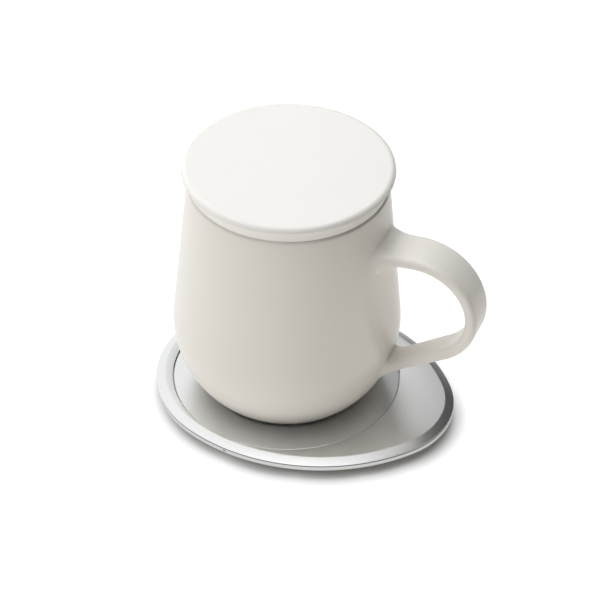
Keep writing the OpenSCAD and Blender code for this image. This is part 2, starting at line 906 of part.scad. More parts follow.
// Soft strip that fills the room from the transistors up to the metal shell
module thermal_pad() {
    color([0.6, 0.65, 0.75])
    translate([0, 0, board_top_z + transistor_h])
    rotate(TRANSISTOR_A[0] - 3)
    rotate_extrude(angle = TRANSISTOR_A[3] - TRANSISTOR_A[0] + 6)
    translate([transistor_r - transistor_w / 2, 0])
    square([transistor_w, plate_z - board_top_z - transistor_h]);
}

// Pressed metal sleeve with two feet on the board
module usb_socket_shell() {
    foot_w = 1.4;
    foot_l = 2;
    color(SILVER)
    difference() {
        union() {
            translate([usb_x, usb_y - usb_l, usb_mid_z])
            rotate([-90, 0, 0])
            linear_extrude(usb_l)
            oblong(usb_w, usb_h);
            translate([usb_x - usb_w / 2 - foot_w, usb_y - usb_l + foot_l, board_top_z])
            cube([usb_w + 2 * foot_w, foot_l, usb_t]);
        }
        translate([usb_x, usb_y - usb_l - over, usb_mid_z])
        rotate([-90, 0, 0])
        linear_extrude(usb_l + 2 * over)
        oblong(usb_w - 2 * usb_t, usb_h - 2 * usb_t);
    }
}

module usb_tongue() {
    tongue_w = 6.7;
    tongue_t = 0.7;
    tongue_l = 4.6;
    color(DARK)
    translate([usb_x, usb_y - usb_l, usb_mid_z])
    rotate([-90, 0, 0])
    union() {
        linear_extrude(usb_block_l)
        oblong(usb_w - 2 * usb_t - 2 * fit, usb_h - 2 * usb_t - 2 * fit);
        translate([0, 0, usb_block_l - fit])
        linear_extrude(tongue_l + fit)
        square([tongue_w, tongue_t], center = true);
    }
}

module status_led() {
    color([0.95, 0.95, 0.9])
    at_light()
    translate([-pipe_l - lay_gap - led_l / 2, 0, 0])
    on_board(led_l, led_w, led_h);
}

module light_pipe() {
    color([0.9, 0.92, 0.95])
    at_light()
    translate([-pipe_l, 0, pipe_z])
    rotate([0, 90, 0])
    cylinder(d = pipe_d, h = pipe_l);
}

lid();
lid_seal();
mug_body();
heating_element();
foot_seal();
foot_cover();
top_shell();
warming_disc();
bottom_shell();
base_pad();
shell_screws();
coil();
ferrite_disc();
coil_carrier();
insulation_pad();
thermistor();
thermistor_lead();
circuit_board();
controller_chip();
power_transistors();
power_inductor();
resonant_capacitors();
thermal_pad();
usb_socket_shell();
usb_tongue();
status_led();
light_pipe();
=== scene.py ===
import math

import bmesh
import bpy
import numpy as np
from mathutils import Matrix, Vector


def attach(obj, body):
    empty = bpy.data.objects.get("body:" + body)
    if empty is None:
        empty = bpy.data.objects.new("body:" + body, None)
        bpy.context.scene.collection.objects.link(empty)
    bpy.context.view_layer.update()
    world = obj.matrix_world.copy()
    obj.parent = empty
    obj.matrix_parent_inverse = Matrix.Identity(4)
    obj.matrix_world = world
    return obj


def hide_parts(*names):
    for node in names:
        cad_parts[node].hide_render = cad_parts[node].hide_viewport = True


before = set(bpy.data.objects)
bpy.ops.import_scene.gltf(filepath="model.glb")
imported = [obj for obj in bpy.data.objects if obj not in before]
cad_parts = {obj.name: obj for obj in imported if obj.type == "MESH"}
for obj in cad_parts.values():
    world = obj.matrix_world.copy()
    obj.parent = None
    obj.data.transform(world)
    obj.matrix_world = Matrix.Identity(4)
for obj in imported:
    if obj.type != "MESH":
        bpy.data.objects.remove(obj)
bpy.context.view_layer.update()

MM = 0.001


# Non-slip pad
# A sheet of dark silicone, die-cut to the warmer's outline and glued under it.
# Its face has a fine pebble, paler on the bumps where it rubs on the table.
class Shade:
    """One output of a finish's nodes. Arithmetic on it adds Math nodes."""

    def __init__(self, finish, socket):
        self.finish, self.socket = finish, socket

    def math(self, operation, *values):
        return self.finish.node("ShaderNodeMath", {"operation": operation}, dict(enumerate(values)))

    def __add__(self, other):
        return self.math("ADD", self, other)

    def __sub__(self, other):
        return self.math("SUBTRACT", self, other)

    def __rsub__(self, other):
        return self.math("SUBTRACT", other, self)

    def __mul__(self, other):
        return self.math("MULTIPLY", self, other)

    def __pow__(self, other):
        return self.math("POWER", self, other)

    def __gt__(self, other):
        return self.math("GREATER_THAN", self, other)

    def __lt__(self, other):
        return self.math("LESS_THAN", self, other)

    __radd__ = __add__
    __rmul__ = __mul__


class Finish:
    """A surface finish: one principled shader, its fixed values, and the nodes that feed it."""

    def __init__(self, name, **fixed):
        self.material = bpy.data.materials.new(name)
        self.start(self.material, "Principled BSDF", fixed)

    def start(self, owner, shader, fixed):
        owner.use_nodes = True
        self.tree = owner.node_tree
        self.shader = self.tree.nodes[shader]
        for socket, value in fixed.items():
            self.shader.inputs[socket.replace("_", " ")].default_value = value

    def node(self, kind, settings=None, sockets=None, output=0):
        made = self.tree.nodes.new(kind)
        for key, value in (settings or {}).items():
            setattr(made, key, value)
        for key, value in (sockets or {}).items():
            if isinstance(value, Shade):
                self.tree.links.new(value.socket, made.inputs[key])
            else:
                made.inputs[key].default_value = value
        return Shade(self, made.outputs[output])

    def place(self):
        return self.node("ShaderNodeTexCoord", output="Object")

    def axis(self, name):
        return self.node("ShaderNodeSeparateXYZ", {}, {0: self.place()}, name)

    def grain(self, per_metre, detail=3.0, rough=0.5, stretch=None):
        """Cloudy noise from 0 to 1, with about so many clouds per metre."""
        place = self.place()
        if stretch:
            settings = {"operation": "MULTIPLY"}
            place = self.node("ShaderNodeVectorMath", settings, {0: place, 1: stretch})
        values = {"Vector": place, "Scale": per_metre, "Detail": detail, "Roughness": rough}
        return self.node("ShaderNodeTexNoise", {}, values, "Fac")

    def cells(self, per_metre):
        """Distance to the nearest of scattered points, for pebbles."""
        values = {"Vector": self.place(), "Scale": per_metre}
        return self.node("ShaderNodeTexVoronoi", {}, values, "Distance")

    def between(self, low, high, value):
        """0 below low, 1 above high, smooth between them."""
        settings = {"interpolation_type": "SMOOTHSTEP"}
        return self.node("ShaderNodeMapRange", settings, {0: value, 1: low, 2: high})

    def mix(self, share, first, second):
        """From the first colour to the second. The node's colours are its inputs 6 and 7."""
        sockets = {0: share, 6: first, 7: second}
        return self.node("ShaderNodeMix", {"data_type": "RGBA"}, sockets, 2)

    def feed(self, **shades):
        for socket, shade in shades.items():
            self.tree.links.new(shade.socket, self.shader.inputs[socket.replace("_", " ")])
        return self

    def bump(self, height, depth):
        """Raises the surface by up to depth millimetres where height is 1."""
        values = {"Height": height, "Distance": depth * MM}
        return self.feed(Normal=self.node("ShaderNodeBump", {}, values))


def colour(red, green, blue):
    return (red, green, blue, 1.0)


def dress(node, finish):
    """Gives a CAD node its finish."""
    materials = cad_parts[node].data.materials
    materials.clear()
    materials.append(finish.material)


# The warmer's outline is four arcs that run into each other: nose, flank, back end, flank
BACK_X, BACK_R = -4.2, 44.8
NOSE_X, NOSE_R = 32.8, 31.9
HALF_W = 46.4
BACK_TUCK, NOSE_TUCK = HALF_W - BACK_R, HALF_W - NOSE_R
span = NOSE_X - BACK_X
flank_k = NOSE_TUCK / BACK_TUCK - 1
flank_q = span ** 2 - NOSE_TUCK * (NOSE_TUCK - BACK_TUCK)
flank_u = (math.sqrt(span ** 2 + flank_k * flank_q) - span) / flank_k
FLANK_R = (flank_u ** 2 / BACK_TUCK + BACK_R + HALF_W) / 2
FLANK_X, FLANK_Y = BACK_X + flank_u, FLANK_R - HALF_W
nose_turn = math.atan2(FLANK_Y, NOSE_X - FLANK_X)
back_turn = math.atan2(FLANK_Y, BACK_X - FLANK_X)
FULL_TURN = 2 * math.pi
# Centre, radius, first and last turn, and number of points of each arc
ARCS = [
    (NOSE_X, 0, NOSE_R, -nose_turn, nose_turn, 100),
    (FLANK_X, -FLANK_Y, FLANK_R, nose_turn, back_turn, 120),
    (BACK_X, 0, BACK_R, back_turn, FULL_TURN - back_turn, 150),
    (FLANK_X, FLANK_Y, FLANK_R, FULL_TURN - back_turn, FULL_TURN - nose_turn, 120),
]
edge_parts, out_parts = [], []
for x, y, radius, first_turn, last_turn, count in ARCS:
    turns = np.linspace(first_turn, last_turn, count, endpoint=False)
    out_parts.append(np.column_stack([np.cos(turns), np.sin(turns)]))
    edge_parts.append(radius * out_parts[-1] + (x, y))
EDGE, EDGE_OUT = np.concatenate(edge_parts), np.concatenate(out_parts)


def at_height(flat, z):
    return np.column_stack([flat, np.full(len(flat), z)])


def egg_loops(section):
    """Loops at (distance in from the warmer's edge, height)."""
    return [at_height(EDGE - inset * EDGE_OUT, z) for inset, z in section]


def rounded(corners, steps=5):
    """Points along a section whose corners, given as (x, z, radius), are rounded off."""
    places = [np.array(c[:2], float) for c in corners]
    points = []
    for i, (here, corner) in enumerate(zip(places, corners)):
        if not corner[2]:
            points.append(here)
            continue
        before, after = places[i - 1] - here, places[(i + 1) % len(places)] - here
        before, after = before / np.linalg.norm(before), after / np.linalg.norm(after)
        half = math.acos(np.clip(before @ after, -1, 1)) / 2
        middle = (before + after) / np.linalg.norm(before + after)
        centre = here + middle * corner[2] / math.sin(half)
        reach = corner[2] / math.tan(half)
        first, last = here + before * reach - centre, here + after * reach - centre
        sweep = math.pi - 2 * half
        for k in range(steps + 1):
            f = k / steps
            turned = math.sin((1 - f) * sweep) * first + math.sin(f * sweep) * last
            points.append(centre + turned / math.sin(sweep))
    return points


def put(name, data):
    """A new object in the scene."""
    placed = bpy.data.objects.new(name, data)
    bpy.context.scene.collection.objects.link(placed)
    return placed


SMOOTH_BELOW = 32


def shade(piece, smooth_below=SMOOTH_BELOW):
    """Shades a piece smooth, apart from edges that turn by more degrees than that."""
    piece.data.shade_smooth()
    piece.data.set_sharp_from_angle(angle=math.radians(smooth_below))


def solid(name, points, faces, finish, body, smooth_below=SMOOTH_BELOW):
    """A piece from points in millimetres, with its faces turned outwards."""
    mesh = bpy.data.meshes.new(name)
    mesh.from_pydata([tuple(p) for p in np.asarray(points) * MM], [], faces)
    shape = bmesh.new()
    shape.from_mesh(mesh)
    loose = [v for v in shape.verts if not v.link_faces]
    bmesh.ops.delete(shape, geom=loose, context="VERTS")
    bmesh.ops.recalc_face_normals(shape, faces=shape.faces)
    shape.to_mesh(mesh)
    shape.free()
    piece = put(name, mesh)
    shade(piece, smooth_below)
    mesh.materials.append(finish.material)
    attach(piece, body)
    return piece


def loft_faces(loops, per_loop, closed=False):
    """Faces between loops of as many points; the ends are capped, or the last joins the first."""
    faces = []
    for i in range(loops if closed else loops - 1):
        a, b = i * per_loop, (i + 1) % loops * per_loop
        for j in range(per_loop):
            k = (j + 1) % per_loop
            faces.append((a + j, a + k, b + k, b + j))
    if not closed:
        faces.append(tuple(range(per_loop)))
        faces.append(tuple(range((loops - 1) * per_loop, loops * per_loop)))
    return faces


def loft(name, loops, finish, body, closed=False):
    faces = loft_faces(len(loops), len(loops[0]), closed)
    return solid(name, np.concatenate(loops), faces, finish, body)


pad_rubber = Finish("pad_rubber", Specular_IOR_Level=0.35)
pebble = pad_rubber.cells(1500)
rubbed = pad_rubber.between(0.35, 0.75, pad_rubber.grain(45)) * (1 - pebble)
pad_rubber.feed(
    Base_Color=pad_rubber.mix(rubbed, colour(0.022, 0.022, 0.024), colour(0.075, 0.073, 0.07)),
    Roughness=0.78 - 0.12 * rubbed,
)
pad_rubber.bump(1 - pebble, 0.05)

PAD_IN, PAD_T = 5.5, 0.8
# A section runs so far in from its edge before a flat face closes it
FLAT_W = 4
pad_section = rounded([
    (PAD_IN + FLAT_W, 0, 0), (PAD_IN, 0, 0.25),
    (PAD_IN, PAD_T, 0.05), (PAD_IN + FLAT_W, PAD_T, 0),
])
pad = loft("non_slip_pad", egg_loops(pad_section), pad_rubber, "warmer")
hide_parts("base_pad")


# Bottom shell
# A shallow die-cast aluminium tray whose underside tucks in, so that the warmer seems to float.
# It is bead-blasted and anodised silver, with a framed opening for the power inlet at the back.
def silver(name, tone, grain_depth, roughness):
    """Bead-blasted, anodised aluminium."""
    metal = Finish(name, Metallic=1.0)
    sand = metal.grain(2600, 2.0, 0.6)
    cloud = metal.grain(38, 2.0)
    shine = metal.between(0.3, 0.75, sand)
    dark = colour(*(0.9 * c for c in tone))
    metal.feed(
        Base_Color=metal.mix(0.65 * shine + 0.35 * cloud, dark, colour(*tone)),
        Roughness=roughness + 0.1 * cloud - 0.06 * shine,
    )
    return metal.bump(sand, grain_depth)


# Painted shade: the tray is the top's metal given a much darker tone, standing in for the shaded
# floor that its band mirrors.
tray_silver_painted_shade = silver("tray_silver_painted_shade", (0.62, 0.625, 0.62), 0.012, 0.32)

TRAY_Z, TRAY_FLOOR_Z, TRAY_RIM_Z = 0.8, 2.0, 5.9
BAND_Z, PART_Z, TOP_Z = 4.3, 6.3, 8.0
UNDER_W, TRAY_IN, TRAY_WALL = 4.2, 5.1, 1.6
tray_section = rounded([
    (UNDER_W + FLAT_W, TRAY_Z, 0), (UNDER_W, TRAY_Z, 0.4), (0, BAND_Z, 0.5),
    (0, TRAY_RIM_Z, 0.15), (TRAY_WALL, TRAY_RIM_Z, 0.1), (TRAY_WALL, BAND_Z + 0.2, 0.3),
    (TRAY_IN, TRAY_FLOOR_Z, 0.5), (TRAY_IN + FLAT_W, TRAY_FLOOR_Z, 0),
])
tray = loft("bottom_tray", egg_loops(tray_section), tray_silver_painted_shade, "warmer")


def tool(first, last):
    """A shape from one loop to another that a piece is joined with or cut by."""
    return loft("tool", [first, last], tray_silver_painted_shade, "warmer")


def upright_tool(flat, low, high):
    return tool(at_height(flat, low), at_height(flat, high))


def circle(sides):
    """Points of a circle of radius 1."""
    turns = np.linspace(0, FULL_TURN, sides, endpoint=False)
    return np.column_stack([np.cos(turns), np.sin(turns)])


POST_SIDES = 48


def post(x, y, radius, low, high):
    return upright_tool(radius * circle(POST_SIDES) + (x, y), low, high)


def combine(piece, operation, shape):
    """Joins a tool with a piece, cuts it away or keeps what is common, and removes the tool."""
    change = piece.modifiers.new("combine", "BOOLEAN")
    change.operation, change.object, change.solver = operation, shape, "EXACT"
    bpy.context.view_layer.update()
    result = piece.evaluated_get(bpy.context.evaluated_depsgraph_get())
    mesh = bpy.data.meshes.new_from_object(result)
    piece.modifiers.clear()
    piece.data = mesh
    bpy.data.objects.remove(shape)
    shade(piece)


INLET_X, INLET_Y, INLET_Z = FLANK_X, 45.2, 4.1
INLET_W, INLET_H, INLET_L, INLET_IN = 8.94, 3.2, 7.35, 1.2
PORT_GAP, FRAME_T, FRAME_DEEP = 0.35, 1.4, 4.2
FRAME_LOW_Z, FRAME_TOP_Z = TRAY_FLOOR_Z - 0.7, PART_Z - 1.5
# Cutters reach so far past the surface that they open
PAST = 1
frame_half = INLET_W / 2 + PORT_GAP + FRAME_T
frame_section = [(INLET_IN / 2, FRAME_LOW_Z), (INLET_IN / 2, FRAME_TOP_Z)]
port_frame = loft("port_frame", egg_loops(frame_section), tray_silver_painted_shade, "warmer")
window = np.array([
    (INLET_X - frame_half, HALF_W - FRAME_DEEP), (INLET_X + frame_half, HALF_W - FRAME_DEEP),
    (INLET_X + frame_half, HALF_W + PAST), (INLET_X - frame_half, HALF_W + PAST),
])
combine(port_frame, "INTERSECT", upright_tool(window, 0, TOP_Z))
combine(tray, "UNION", port_frame)


def port_mouth(spare=0.0, end_points=24):
    """A cutter for the inlet's opening: a slot with round ends that runs in from the back."""
    width, height = INLET_W + 2 * PORT_GAP, INLET_H + 2 * PORT_GAP + spare
    a = np.linspace(-math.pi / 2, math.pi / 2, end_points)
    end = np.column_stack([(width - height) / 2 + height / 2 * np.cos(a), height / 2 * np.sin(a)])
    slot = np.concatenate([end, -end])
    x, z = INLET_X + slot[:, 0], INLET_Z + slot[:, 1]
    loops = [np.column_stack([x, np.full(len(slot), y), z])
             for y in (INLET_Y - INLET_L - PORT_GAP, HALF_W + PAST)]
    return tool(*loops)


SCREW_IN = 9
SCREWS = []
for x, radius, degrees in ((NOSE_X, NOSE_R, -40), (NOSE_X, NOSE_R, 40),
                           (BACK_X, BACK_R, 150), (BACK_X, BACK_R, 210)):
    reach, turn = radius - SCREW_IN, math.radians(degrees)
    SCREWS.append((x + reach * math.cos(turn), reach * math.sin(turn)))
BOARD_Z = 3.2
TRAY_BOSS_R, TRAY_BOSS_Z = 3.5, TRAY_Z + 0.4
SHANK_HOLE_R, HEAD_HOLE_R, HEAD_HOLE_Z = 1.15, 2.1, 2.05
HOLE_START_Z = 0.5
for x, y in SCREWS:
    combine(tray, "UNION", post(x, y, TRAY_BOSS_R, TRAY_BOSS_Z, BOARD_Z))
    combine(tray, "DIFFERENCE", post(x, y, SHANK_HOLE_R, HOLE_START_Z, BOARD_Z + PAST))
    combine(tray, "DIFFERENCE", post(x, y, HEAD_HOLE_R, HOLE_START_Z, HEAD_HOLE_Z))
combine(tray, "DIFFERENCE", port_mouth(spare=0.01))

PIPE_Z, PIPE_D, PIPE_L = 5.2, 1.0, 4.9
PIPE_SIDES = 40
LIGHT_TURN = math.radians(-98.1)
LIGHT_OUT = np.array((math.cos(LIGHT_TURN), math.sin(LIGHT_TURN)))
LIGHT_AT = np.array((FLANK_X, FLANK_Y)) + FLANK_R * LIGHT_OUT


def pipe_loops(radius, stations):
    """Rings round the light pipe's axis at (distance out from the shell's side, radius share)."""
    ring = circle(PIPE_SIDES)
    across = np.array((-LIGHT_OUT[1], LIGHT_OUT[0]))
    rings = []
    for out, share in stations:
        flat = LIGHT_AT + out * LIGHT_OUT + share * radius * ring[:, :1] * across
        rings.append(np.column_stack([flat, PIPE_Z + share * radius * ring[:, 1]]))
    return rings


def pipe_bore(gap):
    """A cutter for the light pipe's hole."""
    return tool(*pipe_loops(PIPE_D / 2 + gap, [(-PIPE_L, 1), (PAST, 1)]))


combine(tray, "DIFFERENCE", pipe_bore(gap=0.05))
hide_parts("bottom_shell")


# Power inlet
# A folded stainless steel sleeve round a black plastic tongue with gilt contacts.
# Its two feet are soldered to the circuit board, just inside the opening of the tray.
inlet_steel = Finish("inlet_steel", Metallic=1.0)
drawn = inlet_steel.grain(900, 3.0, 0.5, (1.0, 0.06, 1.0))
inlet_steel.feed(
    Base_Color=inlet_steel.mix(drawn, colour(0.5, 0.49, 0.48), colour(0.72, 0.71, 0.7)),
    Roughness=0.22 + 0.16 * drawn,
)
inlet_steel.bump(drawn, 0.004)
dress("usb_socket_shell", inlet_steel)

tongue_plastic = Finish("tongue_plastic")
CONTACT_PITCH, CONTACT_GAP, CONTACT_L = 0.5, 0.12, 4.6
tongue_x = tongue_plastic.axis("X") * (1 / MM) - INLET_X
stripe = tongue_x.math("PINGPONG", tongue_x, CONTACT_PITCH / 2)
gilt = (stripe > CONTACT_GAP) * (tongue_plastic.axis("Y") > (INLET_Y - CONTACT_L) * MM)
tongue_plastic.feed(
    Base_Color=tongue_plastic.mix(gilt, colour(0.02, 0.02, 0.022), colour(0.83, 0.6, 0.26)),
    Metallic=gilt,
    Roughness=0.5 - 0.25 * gilt + 0.1 * tongue_plastic.grain(1200),
)
dress("usb_tongue", tongue_plastic)


# Circuit board and its parts
# A ring of glass-fibre board round the coil, with green solder mask over its copper.
# Controller, transistors, inductor and capacitors are soldered on; a soft pad takes off their heat.
board_mask = Finish("board_mask", Coat_Weight=0.3, Coat_Roughness=0.2)
weave, copper = board_mask.grain(1600, 2.0), board_mask.grain(170, 0.0)
track = board_mask.between(0.42, 0.46, copper) * (1 - board_mask.between(0.54, 0.58, copper))
board_mask.feed(
    Base_Color=board_mask.mix(track, colour(0.012, 0.075, 0.035), colour(0.03, 0.15, 0.065)),
    Roughness=0.42 + 0.12 * weave,
)
board_mask.bump(track, 0.03)
dress("circuit_board", board_mask)


def moulded(name, low, high, roughness, per_metre=1500, depth=0.01, **fixed):
    """A moulded or pressed part with a fine matt skin, between two tones."""
    skin = Finish(name, **fixed)
    fine, broad = skin.grain(per_metre), skin.grain(per_metre / 12, 2.0)
    skin.feed(
        Base_Color=skin.mix(0.6 * broad + 0.4 * fine, colour(*low), colour(*high)),
        Roughness=roughness + 0.12 * fine,
    )
    return skin.bump(fine, depth)


chip_epoxy = moulded("chip_epoxy", (0.014, 0.014, 0.015), (0.03, 0.03, 0.032), 0.5)
dress("controller_chip", chip_epoxy)
transistor_epoxy = moulded("transistor_epoxy", (0.018, 0.018, 0.02), (0.04, 0.04, 0.042), 0.46)
dress("power_transistors", transistor_epoxy)
pressed_iron = moulded("pressed_iron", (0.05, 0.05, 0.055), (0.11, 0.11, 0.115), 0.62, 900, 0.03)
dress("power_inductor", pressed_iron)
capacitor_body = moulded("capacitor_body", (0.42, 0.3, 0.17), (0.52, 0.39, 0.24), 0.4)
dress("resonant_capacitors", capacitor_body)
thermal_rubber = moulded("thermal_rubber", (0.3, 0.34, 0.42), (0.4, 0.45, 0.53), 0.7, 700, 0.03)
dress("thermal_pad", thermal_rubber)


# Heating coil
# Nine turns of copper wire in amber varnish on a ring of ferrite, held by a plastic carrier.
# A fibre ring over it keeps the cup's heat off, and a sensor on a lead sits in its middle.
varnish = Finish("varnished_copper", Metallic=0.9, Coat_Weight=0.6, Coat_Roughness=0.15)
amber = varnish.grain(260, 2.0)
varnish.feed(
    Base_Color=varnish.mix(amber, colour(0.5, 0.19, 0.065), colour(0.72, 0.33, 0.14)),
    Roughness=0.24 + 0.14 * varnish.grain(2200),
)
varnish.bump(varnish.grain(1800), 0.01)
dress("coil", varnish)
ferrite = moulded("fired_ferrite", (0.03, 0.03, 0.033), (0.075, 0.074, 0.077), 0.5, 1100, 0.02)
dress("ferrite_disc", ferrite)
dress("coil_carrier", moulded("carrier_nylon", (0.6, 0.58, 0.53), (0.7, 0.68, 0.63), 0.42))

fibre = Finish("insulation_paper", Sheen_Weight=0.15)
strand = fibre.grain(1400, 4.0, 0.65, (1.0, 0.18, 1.0))
fibre.feed(
    Base_Color=fibre.mix(strand, colour(0.6, 0.58, 0.53), colour(0.83, 0.81, 0.76)),
    Roughness=0.82 + 0.1 * strand,
)
fibre.bump(strand, 0.06)
dress("insulation_pad", fibre)

dress("thermistor", moulded("sensor_epoxy", (0.015, 0.015, 0.016), (0.03, 0.03, 0.03), 0.28))
dress("thermistor_lead", moulded("sensor_sleeve", (0.05, 0.05, 0.052), (0.09, 0.09, 0.09), 0.4))


# Status light
# A small white lamp on the board shines through a clear rod to the front edge of the warmer.
# The rod's end is domed and stands level with the metal.
dress("status_led", moulded("lamp_case", (0.78, 0.76, 0.68), (0.9, 0.89, 0.84), 0.35))
clear_rod = Finish("clear_rod", Transmission_Weight=0.55, IOR=1.49)
haze = clear_rod.grain(900)
clear_rod.feed(
    Base_Color=clear_rod.mix(haze, colour(0.78, 0.8, 0.82), colour(0.9, 0.91, 0.92)),
    Roughness=0.16 + 0.2 * haze,
)
rod_stations = [(-PIPE_L, 0.94), (-PIPE_L + 0.06, 1), (-0.14, 1), (-0.06, 0.86), (-0.02, 0.5)]
rod = loft("light_rod", pipe_loops(PIPE_D / 2, rod_stations), clear_rod, "warmer")
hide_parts("light_pipe")


# Top shell
# A thin aluminium ring with a wide, shallow bevel round it and a round seat for the warming disc.
# A lip under its edge locates it in the tray, and four bosses take the steel screws.
top_silver = silver("top_silver", (0.915, 0.925, 0.925), 0.014, 0.38)

PLATE_Z, DISC_Z, LEDGE_Z = 6.6, 6.4, 5.8
BEVEL_W, EDGE_H = 3.2, 0.3
SEAT_R, LEDGE_R, LEDGE_OUT_R = 42.45, 38.85, 43.6
LIP_OUT, LIP_T, LIP_H, LIP_ROOM = 1.75, 1.2, 1.4, 0.1
LIP_IN, LIP_LOW_Z = LIP_OUT + LIP_T, PART_Z - LIP_H
EDGE_ROUND = EDGE / np.linalg.norm(EDGE, axis=1, keepdims=True)


def round_loops(section):
    """Loops about the cup's axis at (radius, height), with points that face the warmer's edge."""
    return [at_height(radius * EDGE_ROUND, z) for radius, z in section]


plate_out = rounded([
    (LIP_IN, PLATE_Z, 0), (LIP_IN, LIP_LOW_Z, 0.1), (LIP_OUT, LIP_LOW_Z, 0.2),
    (LIP_OUT, PART_Z, 0), (0, PART_Z, 0.1), (0, PART_Z + EDGE_H, 0.3),
    (BEVEL_W, TOP_Z, 1.4), (BEVEL_W + 0.4, TOP_Z, 0),
])
plate_in = rounded([
    (SEAT_R + 0.05, TOP_Z, 0), (SEAT_R, TOP_Z, 0.12), (SEAT_R, DISC_Z, 0),
    (LEDGE_R, DISC_Z, 0.05), (LEDGE_R, LEDGE_Z, 0.05), (LEDGE_R + 0.5, LEDGE_Z, 0),
])[1:]
lip_r = np.linalg.norm(EDGE - (LIP_IN + LIP_ROOM) * EDGE_OUT, axis=1)
ledge_out = np.minimum(LEDGE_OUT_R, lip_r)[:, None] * EDGE_ROUND
plate_loops = egg_loops(plate_out) + round_loops(plate_in)
plate_loops += [at_height(ledge_out, LEDGE_Z), at_height(ledge_out, PLATE_Z)]
top = loft("top_plate", plate_loops, top_silver, "warmer", closed=True)
TOP_BOSS_R, TOP_BOSS_Z = 2.3, PLATE_Z + 0.3
THREAD_R, THREAD_TOP_Z = 1.05, 5.45
for x, y in SCREWS:
    combine(top, "UNION", post(x, y, TOP_BOSS_R, BOARD_Z, TOP_BOSS_Z))
    combine(top, "DIFFERENCE", post(x, y, THREAD_R, BOARD_Z - PAST, THREAD_TOP_Z))
combine(top, "DIFFERENCE", port_mouth())
combine(top, "DIFFERENCE", pipe_bore(gap=0.3))
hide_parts("top_shell")

screw_steel = Finish("screw_steel", Metallic=1.0)
turned = screw_steel.grain(1500, 2.0, 0.5, (1.0, 1.0, 8.0))
screw_steel.feed(
    Base_Color=screw_steel.mix(turned, colour(0.4, 0.4, 0.4), colour(0.58, 0.57, 0.56)),
    Roughness=0.26 + 0.16 * turned,
)
dress("shell_screws", screw_steel)


# Warming disc
# A turned aluminium disc, smoother than the shell, dropped into its seat with a hair of a gap.
# Its rim has a small chamfer that catches the light.
disc_silver = silver("disc_silver", (0.93, 0.945, 0.95), 0.006, 0.32)
DISC_R, SEAT_Z, DISC_CHAMFER = 42.2, 7.6, 0.25
DISC_CAP_R = 3
SIDES = 256


def lathe_loops(section):
    """Loops about the cup's axis at (radius, height), with evenly spaced points."""
    ring = circle(SIDES)
    return [at_height(radius * ring, z) for radius, z in section]


disc_section = rounded([
    (DISC_CAP_R, DISC_Z, 0), (DISC_R, DISC_Z, 0.08), (DISC_R, SEAT_Z - DISC_CHAMFER, 0.1),
    (DISC_R - DISC_CHAMFER, SEAT_Z, 0.12), (DISC_CAP_R, SEAT_Z, 0),
])
disc = loft("warming_plate", lathe_loops(disc_section), disc_silver, "warmer")
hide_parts("warming_disc")


# Cup
# Slip-cast porcelain under a warm white satin glaze, with a low round belly and a straight wall.
# The strap handle is cast with the body, so its two roots swell into the wall without a seam.
glaze = Finish("glaze", Coat_Weight=0.3, Coat_Roughness=0.14)
RIM_R, CUP_H, WALL_T = 36.0, 90.0, 3.6
FOOT_STEP = 0.7
cloud, peel = glaze.grain(34, 2.0), glaze.grain(520, 2.0)
height = glaze.axis("Z") * (1 / MM) - SEAT_Z
bare = 1 - glaze.between(0.1, 0.45, height)
# Painted warm shade: the cup's glaze colour is warmer and a little darker than the lid's, though
# both are one glaze, for walls the lamps light less than the lid's top.
glaze_with_warm_shade = glaze.mix(cloud, colour(0.84, 0.812, 0.756), colour(0.87, 0.847, 0.796))
glaze.feed(
    Base_Color=glaze.mix(bare, glaze_with_warm_shade, colour(0.74, 0.7, 0.63)),
    Roughness=0.36 + 0.07 * cloud + 0.4 * bare,
)
glaze.bump(peel + bare * glaze.grain(4200) * 2.0, 0.01)

BOWL_X, BOWL_Z, BOWL_R = 2.9, 29.4, 38.8
to_rim = (RIM_R - BOWL_X, CUP_H - BOWL_Z)
CONE = math.atan2(to_rim[1], to_rim[0]) - math.acos(BOWL_R / math.hypot(*to_rim))
LOW = math.asin((FOOT_STEP - BOWL_Z) / BOWL_R)
RIM_ROUND = 1.2
rim_x, rim_z = RIM_R + RIM_ROUND * (math.tan(CONE) - 1 / math.cos(CONE)), CUP_H - RIM_ROUND
BOWL_STEPS, CONE_STEPS = 38, 59
LEVEL_STEP = BOWL_R * (CONE - LOW) / BOWL_STEPS


def arc(x, z, radius, first, last, steps):
    turns = np.linspace(first, last, steps + 1)
    return [(x + radius * math.cos(a), z + radius * math.sin(a)) for a in turns]


def turned_from(x, z, radius, turn):
    return np.array((x + radius * math.cos(turn), z + radius * math.sin(turn)))


bowl_top = turned_from(BOWL_X, BOWL_Z, BOWL_R, CONE)
wall_top = turned_from(rim_x, rim_z, RIM_ROUND, CONE)


def wall(level):
    """(radius, height) of the outer wall at a level: bowl first, then the straight part."""
    level = np.asarray(level, float)
    a = LOW + (CONE - LOW) * np.clip(level / BOWL_STEPS, 0, 1)
    up = np.clip(level - BOWL_STEPS, 0, None) / CONE_STEPS
    radius = BOWL_X + BOWL_R * np.cos(a) + up * (wall_top[0] - bowl_top[0])
    return radius, BOWL_Z + BOWL_R * np.sin(a) + up * (wall_top[1] - bowl_top[1])


def level_of(z):
    """The wall's level at a height."""
    a = np.arcsin(np.clip((z - BOWL_Z) / BOWL_R, -1, math.sin(CONE)))
    up = np.clip((z - bowl_top[1]) / (wall_top[1] - bowl_top[1]), 0, None)
    return (a - LOW) / (CONE - LOW) * BOWL_STEPS + up * CONE_STEPS


